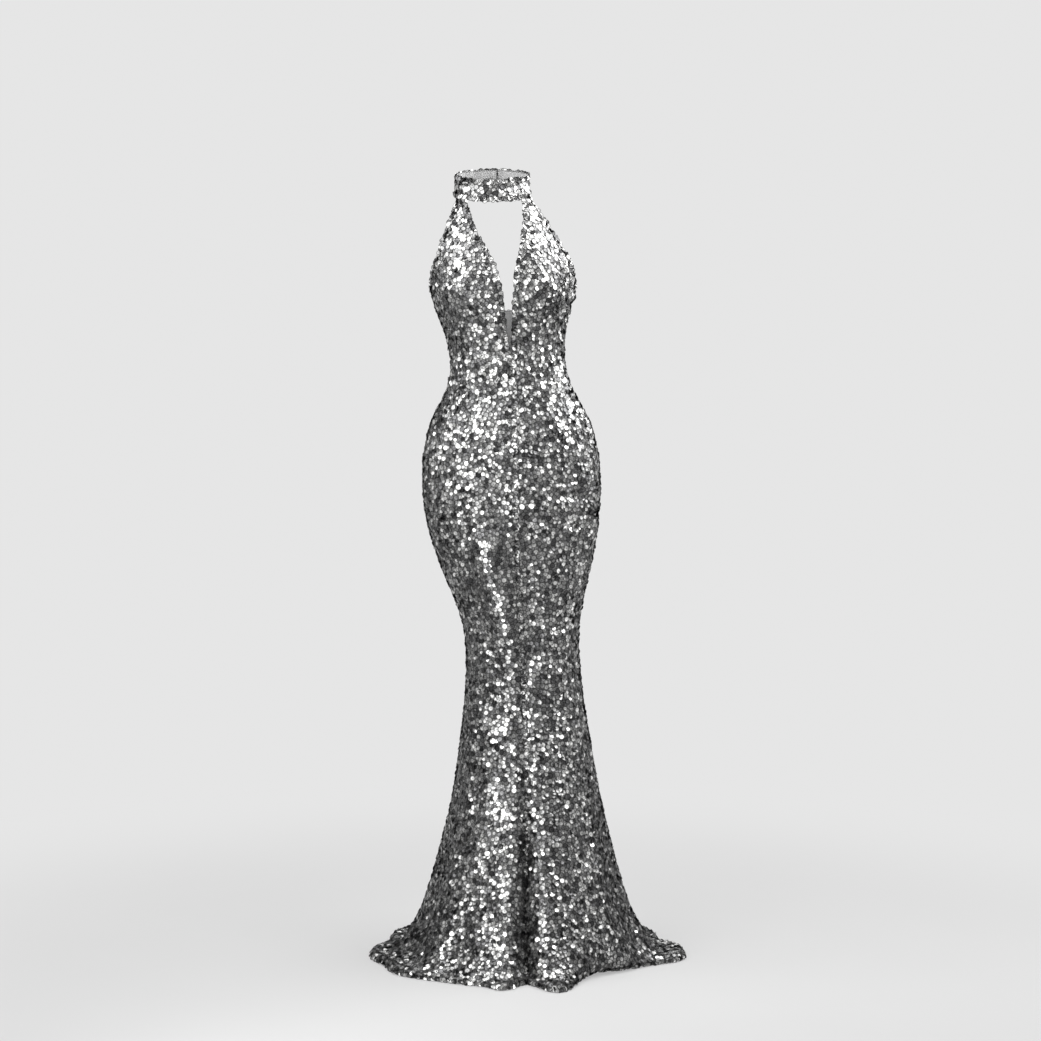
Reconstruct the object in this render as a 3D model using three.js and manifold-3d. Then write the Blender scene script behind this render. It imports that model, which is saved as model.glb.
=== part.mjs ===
// A floor-length halter evening gown of sequinned cloth, worn: a close neck band, a plunging
// slit neckline, a fitted bodice and hips, and a skirt that flares from the knee to a hem that
// pools on the floor. Millimetres, +Z up, -Y in front. The origin is the centre of the neck
// band, which carries the gown, and +X is on the wearer's left.
import * as THREE from "three";
import { mergeVertices } from "three/addons/utils/BufferGeometryUtils.js";
import Module from "manifold-3d";

const wasm = await Module();
wasm.setup();

// Cloth and gaps
const WALL = 2; // sequins on a stretch ground
const SEAM = 0.3; // gap between pieces at a seam
const DEGREE = Math.PI / 180;

// Neck band
const BAND = {
  half: 70, // half width across the neck
  front: 63,
  back: 62,
  height: 39,
  lean: 0.15, // rise for each millimetre towards the back
  splay: 2, // the lower edge stands out by this much
  overlap: 7, // degrees that each end passes the nape
};

// Floor level below the neck band's centre
const FLOOR = -1505;

// Level sections from the neck band's lower edge to the hem. Heights are above the floor.
// centre and half give the width across, front and back the depth each way, and turn the
// degrees that centre front stands off the front of the section. slope tips a section up
// behind, flute is the share of the folds, lie the share of the hem's outline, and roll the
// extra height of cloth that lies loose.
const SECTIONS = [
  { height: 1485.2, centre: 0, half: 72, front: 65, back: 64, turn: 3, slope: 0.15 },
  { height: 1474, centre: 3.5, half: 79, front: 69, back: 68, turn: 3, slope: 0.14 },
  { height: 1446, centre: 6.5, half: 102, front: 79, back: 80, turn: 3, slope: 0.1 },
  { height: 1404, centre: 12.5, half: 127, front: 94, back: 92, turn: 2.5, slope: 0.03 },
  { height: 1358, centre: 17.5, half: 139.5, front: 106, back: 101, turn: 3.5 },
  { height: 1310, centre: 20, half: 140, front: 110, back: 102, turn: 4 },
  { height: 1268, centre: 21, half: 130, front: 108, back: 98, turn: 4.5 },
  { height: 1225, centre: 23.5, half: 116, front: 101, back: 90, turn: 4.8 },
  { height: 1165, centre: 29.5, half: 109, front: 95, back: 83, turn: 4.4 },
  { height: 1111, centre: 33.5, half: 120, front: 96, back: 90, turn: 4 },
  { height: 1063, centre: 34, half: 148, front: 101, back: 106, turn: 3.5 },
  { height: 1014, centre: 35, half: 163, front: 104, back: 121, turn: 3 },
  { height: 966, centre: 36, half: 170.5, front: 105, back: 129, turn: 3 },
  { height: 917, centre: 37, half: 171, front: 105, back: 126, turn: 2.5 },
  { height: 869, centre: 38, half: 168, front: 105, back: 117, turn: 2.5 },
  { height: 820, centre: 41.5, half: 158, front: 104, back: 105, turn: 2 },
  { height: 770, centre: 45, half: 145, front: 101, back: 94, turn: 1.5 },
  { height: 721, centre: 49.5, half: 129, front: 97, back: 84, turn: 1 },
  { height: 672, centre: 54, half: 115, front: 93, back: 76, turn: 0.5 },
  { height: 624, centre: 57, half: 109, front: 89, back: 72, turn: 0 },
  { height: 530, centre: 60.5, half: 111.5, front: 94, back: 82, turn: 0, flute: 0.02 },
  { height: 427, centre: 63, half: 126, front: 117, back: 112, turn: 0, flute: 0.1 },
  { height: 320, centre: 65, half: 143, front: 146, back: 150, turn: 0, flute: 0.26 },
  { height: 210, centre: 65, half: 170, front: 186, back: 200, turn: 0, flute: 0.5 },
  { height: 120, centre: 64, half: 196, front: 224, back: 250, turn: 0, flute: 0.75 },
  { height: 66, centre: 65, half: 217, front: 248, back: 286, turn: 0, flute: 0.9, lie: 0.04 },
  { height: 34, centre: 66, half: 233, front: 262, back: 306, turn: 0, flute: 1, lie: 0.22, roll: -8 },
  { height: 15, centre: 66, half: 246, front: 272, back: 322, turn: 0, flute: 1, lie: 0.5, roll: -3 },
  { height: 9, centre: 66, half: 262, front: 280, back: 340, turn: 0, flute: 1, lie: 0.82, roll: 12 },
  { height: WALL, centre: 66, half: 290, front: 290, back: 370, turn: 0, flute: 1, lie: 1, roll: 0 },
];

// Rows between one section and the next, columns across a panel, and the section at the knee,
// where the columns double
const STEPS = 2;
const COLUMNS = 11;
const KNEE = 19;

// The edges of the fronts, in degrees from centre front, by section height
const FRONT_EDGES = [
  { height: 1485.2, neckline: 48, armhole: 78 },
  { height: 1474, neckline: 42, armhole: 71 },
  { height: 1452, neckline: 31, armhole: 62.5 },
  { height: 1426, neckline: 23, armhole: 60 },
  { height: 1394, neckline: 15.5, armhole: 62 },
  { height: 1364, neckline: 9.5, armhole: 68 },
  { height: 1335, neckline: 6.6, armhole: 79 },
  { height: 1310, neckline: 5.2, armhole: 90 },
  { height: 1252, neckline: 3.6, armhole: 90 },
  { height: 1210, neckline: 2.2, armhole: 90 },
  { height: 1172, neckline: 0, armhole: 90 },
];
const UNDERARM = 5; // number of the section at the top of the side seams
const BACK_TOP = 1258; // height of the top edge at centre back
const BACK_LEVEL = 10; // number of the section where the rows of the backs run level again

// Bust shaping of the fronts
const CUP = { angle: 36, height: 1314, depth: 22, spread: 25, rise: 50 };

// The forward leg draws a soft ridge down the right front, from the thigh to the knee
const RIDGE = { top: 930, topAngle: -27, knee: 600, kneeAngle: -11, depth: 15, spread: 20, rise: 150 };

// Folds of the flare: where each lies, how deep it is at the hem and its half width in degrees
const FOLDS = [
  { angle: 0, depth: 46, spread: 5.5 },
  { angle: -37, depth: 13, spread: 11 },
  { angle: 39, depth: 13, spread: 10 },
  { angle: -70, depth: 15, spread: 9 },
  { angle: 71, depth: 15, spread: 9 },
  { angle: -108, depth: 26, spread: 11 },
  { angle: 110, depth: 24, spread: 11 },
  { angle: -144, depth: 30, spread: 12 },
  { angle: 146, depth: 28, spread: 12 },
  { angle: 180, depth: 34, spread: 10 },
];

// Outline of the hem on the floor: its reach from the centre of the last section
const HEM = [
  { angle: -180, reach: 372 },
  { angle: -150, reach: 346 },
  { angle: -122, reach: 320 },
  { angle: -90, reach: 308 },
  { angle: -60, reach: 306 },
  { angle: -35, reach: 294 },
  { angle: -18, reach: 280 },
  { angle: 0, reach: 292 },
  { angle: 17, reach: 284 },
  { angle: 27, reach: 236 },
  { angle: 42, reach: 216 },
  { angle: 62, reach: 250 },
  { angle: 79, reach: 312 },
  { angle: 98, reach: 304 },
  { angle: 124, reach: 314 },
  { angle: 152, reach: 356 },
  { angle: 180, reach: 372 },
];

// Turned-under ends of the two ridges beside the front fold, which stand out past the hem
const TOES = [
  { angle: -8.2, reach: 32, spread: 4.2 },
  { angle: 10.5, reach: 42, spread: 5 },
];
const LOOSE = 80; // length of cloth on the floor that rolls to its full height

// Waves round the hem in the height of that roll
const RIPPLES = [
  { count: 7, share: 0.3, start: 150 },
  { count: 12, share: 0.25, start: 60 },
];

// Zip at centre back
const ZIP = { bottom: 870, tapeWidth: 11, tapeWall: 0.8, coil: 1.6 };
const SLIDER = { width: 6, height: 9.5, depth: 2.2, archWidth: 2, archHeight: 7, archDepth: 3.2, archWall: 0.9 };
const PULL = { width: 5.6, length: 24, wall: 1, hole: 3, holeLength: 5.6 };

// Buttons of the neck band, with the two heights on it as shares of its own
const BUTTON = { radius: 4.5, height: 3, upper: 0.74, lower: 0.26 };

// The value of a column at a place in a table, on a smooth curve through its rows.
function smooth(rows, by, name, at) {
  const value = (i) => rows[i][name] ?? 0;
  const place = (i) => (by ? rows[i][by] : i);
  const last = rows.length - 1;
  const down = place(last) < place(0) ? -1 : 1;
  let i = 0;
  while (i < last - 1 && (at - place(i + 1)) * down > 0) i++;
  const span = place(i + 1) - place(i);
  const t = Math.min(1, Math.max(0, (at - place(i)) / span));
  const slope = (k) => {
    const a = Math.max(0, k - 1);
    const b = Math.min(last, k + 1);
    return (value(b) - value(a)) / (place(b) - place(a));
  };
  const [p, q] = [value(i), value(i + 1)];
  const [m, n] = [slope(i) * span, slope(i + 1) * span];
  return p + t * (m + t * (3 * (q - p) - 2 * m - n + t * (2 * (p - q) + m + n)));
}

const bell = (x) => Math.exp(-x * x);
const ease = (x) => x * x * (3 - 2 * x);
const within = (x) => Math.min(1, Math.max(0, x));

// How far round from b the angle a is, between -180 and 180.
const round = (a, b) => ((((a - b + 180) % 360) + 360) % 360) - 180;

// A point of the gown's outer face. row counts down the sections, and angle is in degrees from
// the front, towards +X.
function face(row, angle) {
  const at = (name) => smooth(SECTIONS, null, name, row);
  const [sine, cosine] = [Math.sin(angle * DEGREE), Math.cos(angle * DEGREE)];
  const height = at("height");
  let x = at("half") * sine;
  let y = -at(cosine > 0 ? "front" : "back") * cosine;
  const lie = within(at("lie"));
  let reach = smooth(HEM, "angle", "reach", round(angle, 0));
  for (const toe of TOES) reach += toe.reach * bell(round(angle, toe.angle) / toe.spread);
  const loose = within((reach - Math.hypot(x, y)) / LOOSE);
  x += lie * (reach * sine - x);
  y += lie * (-reach * cosine - y);

  const turn = at("turn");
  for (const side of [-1, 1]) {
    const off = bell(round(angle, turn + side * CUP.angle) / CUP.spread);
    y -= CUP.depth * off * bell((height - CUP.height) / CUP.rise);
  }
  const down = (RIDGE.top - height) / (RIDGE.top - RIDGE.knee);
  const middle = RIDGE.topAngle + down * (RIDGE.kneeAngle - RIDGE.topAngle);
  const mid = (RIDGE.top + RIDGE.knee) / 2;
  y -= RIDGE.depth * bell((angle - middle) / RIDGE.spread) * bell((height - mid) / RIDGE.rise);

  const flute = within(at("flute"));
  for (const fold of FOLDS) {
    const depth = flute * fold.depth * bell(round(angle, fold.angle) / fold.spread);
    x -= depth * sine;
    y += depth * cosine;
  }
  const wave = RIPPLES.reduce((sum, { count, share, start }) => {
    return sum + share * Math.sin((count * angle + start) * DEGREE);
  }, 1);
  const z = FLOOR + Math.max(WALL, height + loose * wave * at("roll")) + at("slope") * y;
  return new THREE.Vector3(at("centre") + x, y, z);
}

// The way out of the cloth at a point of its outer face. The edge of the hem lies flat.
function outward(row, angle) {
  const small = 0.02;
  if (row > SECTIONS.length - 1 - small) return new THREE.Vector3(0, 0, 1);
  const along = face(row + small, angle).sub(face(Math.max(0, row - small), angle));
  const across = face(row, angle + 1).sub(face(row, angle - 1));
  return across.cross(along).normalize().negate();
}

// A point inwards from the outer face by depth, never under the floor.
function under(row, angle, depth) {
  const p = face(row, angle).addScaledVector(outward(row, angle), -depth);
  p.z = Math.max(FLOOR, p.z);
  return p;
}

// A closed wall from rows of points of its two faces. A row may have twice the columns of the
// row above it.
function wall(outer, inner) {
  const points = [];
  const number = (rows) => rows.map((row) => row.map((p) => points.push(p.x, p.y, p.z) / 3 - 1));
  const faces = [];
  const [o, i] = [number(outer), number(inner)];
  const triangle = (flip, a, b, c) => faces.push(...(flip ? [a, c, b] : [a, b, c]));
  [o, i].forEach((rows, flip) => {
    for (let r = 0; r + 1 < rows.length; r++) {
      const [up, low] = [rows[r], rows[r + 1]];
      const times = (low.length - 1) / (up.length - 1);
      for (let c = 0; c + 1 < up.length; c++) {
        const k = c * times;
        triangle(flip, up[c], low[k], low[k + 1]);
        if (times === 2) triangle(flip, up[c], low[k + 1], low[k + 2]);
        triangle(flip, up[c], low[k + times], up[c + 1]);
      }
    }
  });
  const rim = [];
  const last = o.length - 1;
  for (let c = 0; c < o[0].length; c++) rim.push([o[0][c], i[0][c]]);
  for (let r = 1; r <= last; r++) rim.push([o[r].at(-1), i[r].at(-1)]);
  for (let c = o[last].length - 2; c >= 0; c--) rim.push([o[last][c], i[last][c]]);
  for (let r = last - 1; r > 0; r--) rim.push([o[r][0], i[r][0]]);
  rim.forEach(([a, b], n) => {
    const [c, d] = rim[(n + 1) % rim.length];
    faces.push(a, c, b, b, c, d);
  });
  const geometry = new THREE.BufferGeometry();
  geometry.setAttribute("position", new THREE.Float32BufferAttribute(points, 3));
  geometry.setIndex(faces);
  return facingOut(geometry);
}

// The same geometry, turned if its faces point inwards.
function facingOut(geometry) {
  const at = geometry.getAttribute("position");
  const order = geometry.index.array;
  const corner = (k) => new THREE.Vector3().fromBufferAttribute(at, order[k]);
  let volume = 0;
  for (let k = 0; k < order.length; k += 3) {
    volume += corner(k).dot(corner(k + 1).cross(corner(k + 2)));
  }
  if (volume < 0) {
    for (let k = 0; k < order.length; k += 3) {
      [order[k + 1], order[k + 2]] = [order[k + 2], order[k + 1]];
    }
  }
  geometry.computeVertexNormals();
  return geometry;
}

const sequinned = { color: 0xb4b5b6, roughness: 0.25, metalness: 0.9 };
const metal = { color: 0xc9cacb, roughness: 0.3, metalness: 1 };
const tape = { color: 0x6a6b6d, roughness: 0.8, metalness: 0 };

function named(name, geometry, finish) {
  const mesh = new THREE.Mesh(geometry, new THREE.MeshStandardMaterial(finish));
  mesh.name = name;
  return mesh;
}

// The rows of a panel, as steps down the sections.
function rowsFrom(first) {
  const count = (SECTIONS.length - 1 - first) * STEPS;
  return Array.from({ length: count + 1 }, (_, k) => first + k / STEPS);
}

// Degrees that half a seam's gap takes up at a row.
function seam(row, angle) {
  const step = face(row, angle + 0.5).distanceTo(face(row, angle - 0.5));
  return SEAM / 2 / step;
}

// One panel from a section down, between two edges that are given as angles for a row. sink
// lowers a row by a number of rows, for a share of the way across.
function panel(name, first, edges, sink) {
  const layer = (depth) =>
    rowsFrom(first).map((row) => {
      const columns = row <= KNEE ? COLUMNS : 2 * COLUMNS;
      const shares = Array.from({ length: columns + 1 }, (_, c) => c / columns);
      return shares.map((share) => clothPoint(row, share, edges, sink, depth));
    });
  return named(name, wall(layer(0), layer(WALL)), sequinned);
}

// The point of a panel at a row and a share of the way across, inwards by depth.
function clothPoint(row, share, edges, sink, depth) {
  const sunk = row + sink(row, share);
  const [from, to] = edges(sunk);
  return under(sunk, from + (to - from) * share, depth);
}

const heightOf = (row) => smooth(SECTIONS, null, "height", row);
const turnOf = (row) => smooth(SECTIONS, null, "turn", row);

// Row number of a height
function rowOf(height) {
  let [low, high] = [0, SECTIONS.length - 1];
  for (let k = 0; k < 30; k++) {
    const middle = (low + high) / 2;
    if (heightOf(middle) > height) low = middle;
    else high = middle;
  }
  return low;
}

// A front, on side -1 for the wearer's right and 1 for the left: neckline and armhole above,
// centre front and side seam below.
function front(name, side) {
  const edges = (row) => {
    const at = (edge) => smooth(FRONT_EDGES, "height", edge, heightOf(row));
    const slit = heightOf(row) > FRONT_EDGES.at(-1).height ? Math.max(0, at("neckline")) : 0;
    const arm = row < UNDERARM ? Math.min(90, at("armhole")) : 90;
    const [near, far] = [turnOf(row) + side * slit, turnOf(row) + side * arm];
    return [near + side * seam(row, near), far - side * seam(row, far)];
  };
  return panel(name, 0, edges, () => 0);
}

// The cut of a back, from the side seam to centre back. Its top runs in a shallow scoop.
function backCut(side) {
  const edges = (row) => {
    const [far, middle] = [turnOf(row) + side * 90, turnOf(row) + side * 180];
    return [far + side * seam(row, far), middle - side * seam(row, middle)];
  };
  const dip = rowOf(BACK_TOP) - UNDERARM;
  const sink = (row, share) => dip * ease(share) * within((BACK_LEVEL - row) / (BACK_LEVEL - UNDERARM));
  return { edges, sink };
}

function back(name, side) {
  const { edges, sink } = backCut(side);
  return panel(name, UNDERARM, edges, sink);
}

// A point of the neck band's outer face. up runs from 0 at the lower edge to 1 at the upper.
function bandFace(angle, up, out) {
  const [sine, cosine] = [Math.sin(angle * DEGREE), Math.cos(angle * DEGREE)];
  const splay = BAND.splay * (1 - up) + out;
  const x = (BAND.half + splay) * sine;
  const y = -((cosine > 0 ? BAND.front : BAND.back) + splay) * cosine;
  return new THREE.Vector3(x, y, BAND.lean * y + (up - 0.5) * BAND.height);
}

// The neck band: a strip all round the neck, whose left end laps over the right at the nape.
function band() {
  const [turns, levels] = [64, 3];
  const ends = 180 + BAND.overlap;
  const layer = (depth) =>
    Array.from({ length: turns + 1 }, (_, k) => {
      const angle = -ends + (2 * ends * k) / turns;
      const lap = ease(within((angle - (ends - 40)) / 26)) * (WALL + SEAM);
      return Array.from({ length: levels + 1 }, (_, n) => bandFace(angle, n / levels, lap - depth));
    });
  return named("neck_band", wall(layer(0), layer(WALL)), sequinned);
}

// A round button with a domed top, on the neck band's lap.
function button(name, up) {
  const { radius, height } = BUTTON;
  const profile = [new THREE.Vector2(0, 0), new THREE.Vector2(radius * 0.55, 0)];
  profile.push(new THREE.Vector2(radius * 0.55, height * 0.3), new THREE.Vector2(radius, height * 0.36));
  for (let k = 1; k <= 4; k++) {
    const turn = (k * Math.PI) / 8;
    profile.push(new THREE.Vector2(radius * Math.cos(turn), height * (0.36 + 0.64 * Math.sin(turn))));
  }
  profile[profile.length - 1].x = 0;
  const geometry = closed(new THREE.LatheGeometry(profile, 16));
  const mesh = named(name, geometry, metal);
  const at = bandFace(180, up, WALL + 2 * SEAM);
  const rise = bandFace(180, 1, WALL + 2 * SEAM).sub(at);
  mesh.position.copy(at);
  mesh.rotation.x = Math.atan2(rise.z, rise.y) - Math.PI / 2;
  return mesh;
}

// A geometry with its shared corners merged, so that it closes.
function closed(geometry) {
  const bare = geometry.clone();
  bare.deleteAttribute("normal");
  bare.deleteAttribute("uv");
  const merged = mergeVertices(bare, 1e-3);
  const kept = [];
  const index = merged.index.array;
  for (let k = 0; k < index.length; k += 3) {
    const [a, b, c] = index.slice(k, k + 3);
    if (a !== b && b !== c && c !== a) kept.push(a, b, c);
  }
  merged.setIndex(kept);
  return facingOut(merged);
}

// three.js geometry as a solid, and back
function solid(geometry) {
  const merged = closed(geometry);
  return new wasm.Manifold(
    new wasm.Mesh({
      numProp: 3,
      vertProperties: new Float32Array(merged.getAttribute("position").array),
      triVerts: new Uint32Array(merged.index.array),
    }),
  );
}

function fromSolid(made) {
  const mesh = made.getMesh();
  const geometry = new THREE.BufferGeometry();
  geometry.setAttribute("position", new THREE.BufferAttribute(mesh.vertProperties, 3));
  geometry.setIndex(new THREE.BufferAttribute(mesh.triVerts, 1));
  return geometry;
}

// A zip tape inside one back, on its last column of cloth.
function zipTape(name, side) {
  const { tapeWidth, tapeWall, coil } = ZIP;
  const { edges, sink } = backCut(side);
  const rows = rowsFrom(UNDERARM).filter((row) => heightOf(row) >= ZIP.bottom);
  const layer = (depth) =>
    rows.map((row) => {
      const [a, b] = [1 - 1 / COLUMNS, 1].map((share) => clothPoint(row, share, edges, sink, WALL));
      const across = a.clone().sub(b).normalize();
      const out = outward(row + sink(row, 1), turnOf(row) + 180);
      return [coil / 2, tapeWidth].map((off) =>
        b.clone().addScaledVector(across, off).addScaledVector(out, -SEAM - depth),
      );
    });
  return named(name, wall(layer(0), layer(tapeWall)), tape);
}

// A flat outline extruded evenly about its own plane.
function plate(shape, thickness) {
  const geometry = new THREE.ExtrudeGeometry(shape, { depth: thickness, bevelEnabled: false, curveSegments: 8 });
  geometry.translate(0, 0, -thickness / 2);
  return geometry;
}

// A rectangle with round ends, about the origin.
function roundEnded(width, height) {
  const r = Math.min(width, height) / 2;
  const shape = new THREE.Shape();
  if (height >= width) {
    shape.absarc(0, height / 2 - r, r, 0, Math.PI);
    shape.absarc(0, r - height / 2, r, Math.PI, 2 * Math.PI);
  } else {
    shape.absarc(width / 2 - r, 0, r, -Math.PI / 2, Math.PI / 2);
    shape.absarc(r - width / 2, 0, r, Math.PI / 2, (3 * Math.PI) / 2);
  }
  return shape;
}

// Where the slider sits on the seam: the outer face at centre back and the way out of it
function sliderSeat() {
  const row = rowOf(BACK_TOP - SLIDER.height / 2 - 1);
  const angle = turnOf(row) + 180;
  return { point: face(row, angle), out: outward(row, angle).setX(0).normalize() };
}

// The slider's body and the arch on its back that carries the pull. Its own frame has +Z away
// from the cloth and +Y up the seam.
function slider() {
  const { width, height, depth, archWidth, archHeight, archDepth, archWall } = SLIDER;
  const body = plate(roundEnded(width, height), depth).translate(0, 0, SEAM + depth / 2);
  const arch = new THREE.Shape();
  arch.moveTo(-archHeight / 2, -0.5);
  arch.lineTo(-archHeight / 2, archDepth - 1);
  arch.absarc(1 - archHeight / 2, archDepth - 1, 1, Math.PI, Math.PI / 2, true);
  arch.absarc(archHeight / 2 - 1, archDepth - 1, 1, Math.PI / 2, 0, true);
  arch.lineTo(archHeight / 2, -0.5);
  arch.lineTo(archHeight / 2 - archWall, -0.5);
  arch.lineTo(archHeight / 2 - archWall, archDepth - archWall);
  arch.lineTo(archWall - archHeight / 2, archDepth - archWall);
  arch.lineTo(archWall - archHeight / 2, -0.5);
  const bow = plate(arch, archWidth);
  bow.rotateX(Math.PI / 2).rotateZ(Math.PI / 2).translate(0, 0, SEAM + depth);
  return fromSolid(solid(body).add(solid(bow)));
}

// The pull tab, hanging: a drop-shaped plate whose top bar passes through the arch.
// Its own origin is on the bar, with +Z up and +Y away from the cloth.
function pull() {
  const { width, length, wall: thick, hole, holeLength } = PULL;
  const bar = thick / 2;
  const shape = new THREE.Shape();
  shape.moveTo(-width / 2, bar);
  shape.lineTo(-width / 2, -length * 0.45);
  shape.lineTo(-width * 0.36, -length * 0.6);
  shape.absarc(0, -length + width * 0.45, width * 0.45, Math.PI, 2 * Math.PI);
  shape.lineTo(width * 0.36, -length * 0.6);
  shape.lineTo(width / 2, -length * 0.45);
  shape.lineTo(width / 2, bar);
  const cut = new THREE.Path();
  cut.moveTo(-hole / 2, -bar);
  cut.lineTo(hole / 2, -bar);
  cut.lineTo(hole / 2, -bar - holeLength);
  cut.lineTo(-hole / 2, -bar - holeLength);
  shape.holes.push(cut);
  return closed(plate(shape, thick).rotateX(Math.PI / 2));
}

const gown = new THREE.Group();
gown.add(front("right_front", -1), front("left_front", 1));
gown.add(back("right_back", -1), back("left_back", 1));
gown.add(band());
gown.add(button("neck_button_upper", BUTTON.upper), button("neck_button_lower", BUTTON.lower));
gown.add(zipTape("zip_tape_right", -1), zipTape("zip_tape_left", 1));

const seat = sliderSeat();
const tilt = Math.atan2(-seat.out.z, seat.out.y); // the cloth leans in below the slider
const head = new THREE.Group();
head.position.copy(seat.point);
head.rotation.x = -Math.PI / 2 - tilt;
const sliderMesh = named("zip_slider", slider(), metal);
head.add(sliderMesh);
gown.add(head);

const pivotOut = SEAM + SLIDER.depth + (SLIDER.archDepth - SLIDER.archWall) / 2;
const pullMesh = named("zip_pull", pull(), metal);
pullMesh.position.copy(seat.point).addScaledVector(seat.out, pivotOut);
gown.add(pullMesh);

export default gown;
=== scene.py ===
import math
from collections import namedtuple

import bmesh
import bpy
import numpy as np
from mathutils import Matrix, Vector
from mathutils.bvhtree import BVHTree
from mathutils.geometry import intersect_point_line
from mathutils.kdtree import KDTree


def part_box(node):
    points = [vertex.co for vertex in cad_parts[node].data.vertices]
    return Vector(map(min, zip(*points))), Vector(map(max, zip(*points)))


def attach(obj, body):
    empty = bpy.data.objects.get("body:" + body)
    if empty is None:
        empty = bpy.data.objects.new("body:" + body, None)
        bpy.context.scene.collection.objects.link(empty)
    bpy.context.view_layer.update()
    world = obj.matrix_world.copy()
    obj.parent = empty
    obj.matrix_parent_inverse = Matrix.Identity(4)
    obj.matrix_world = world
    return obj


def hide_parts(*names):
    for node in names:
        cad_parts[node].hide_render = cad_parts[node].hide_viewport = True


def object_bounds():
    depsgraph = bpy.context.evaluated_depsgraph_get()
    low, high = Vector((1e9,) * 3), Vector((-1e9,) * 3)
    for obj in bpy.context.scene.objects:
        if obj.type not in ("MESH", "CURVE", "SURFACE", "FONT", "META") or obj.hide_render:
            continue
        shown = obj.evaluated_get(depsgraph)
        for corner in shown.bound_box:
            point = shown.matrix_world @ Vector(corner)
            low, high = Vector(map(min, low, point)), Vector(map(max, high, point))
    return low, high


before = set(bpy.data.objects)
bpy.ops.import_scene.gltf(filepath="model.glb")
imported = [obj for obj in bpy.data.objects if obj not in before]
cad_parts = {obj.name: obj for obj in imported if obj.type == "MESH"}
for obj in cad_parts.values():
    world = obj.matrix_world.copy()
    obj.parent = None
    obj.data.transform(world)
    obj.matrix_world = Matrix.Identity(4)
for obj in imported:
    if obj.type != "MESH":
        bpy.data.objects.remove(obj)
cad_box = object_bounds()

# Camera
# Chest high, six and a half metres in front and tipped down a little, with a long lens, as the
# gown was photographed.

CAMERA_PLACE = (0.054, -6.7, 0.045)
CAMERA_TIP = math.radians(5.9)
SENSOR = 36
LENS = 120.07

camera_data = bpy.data.cameras.new("camera")
camera_data.sensor_width = SENSOR
camera_data.lens = LENS
camera_data.clip_end = 200
camera = bpy.data.objects.new("camera", camera_data)
camera.location = CAMERA_PLACE
camera.rotation_euler = (math.radians(90) - CAMERA_TIP, 0, 0)
bpy.context.collection.objects.link(camera)
bpy.context.scene.camera = camera
bpy.context.scene.view_settings.view_transform = "Standard"

# The net of the four panels
# Two fronts and two backs, cut from a dark stretch net on a plain jersey reverse and sewn
# together at the sides and at the middle of the front and back. Each is a thin shell on its
# solid's outer face, set in by the height of the sequins, with its main creases.

GOWN = "gown"
WELD = 0.00002
RIM = 0.0025
SET_IN = 0.0011
MET = 0.0008
NET_WALL = 0.0008
SMOOTHING = 2

# The line up the middle of the gown, as height and place to the wearer's left
MIDDLE = np.array(
    [
        (-1.505, 0.066),
        (-1.08, 0.063),
        (-0.88, 0.057),
        (-0.54, 0.036),
        (-0.34, 0.030),
        (-0.2, 0.020),
        (-0.1, 0.012),
        (0.02, 0.0),
    ]
)

# A crease is narrow at its ends and widest in the middle: how far its ends are cut short, how soon
# it widens, and how wide its ends stay
CUT_SHORT = 0.02
WIDENING = 0.6
END_WIDTH = 0.5

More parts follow.
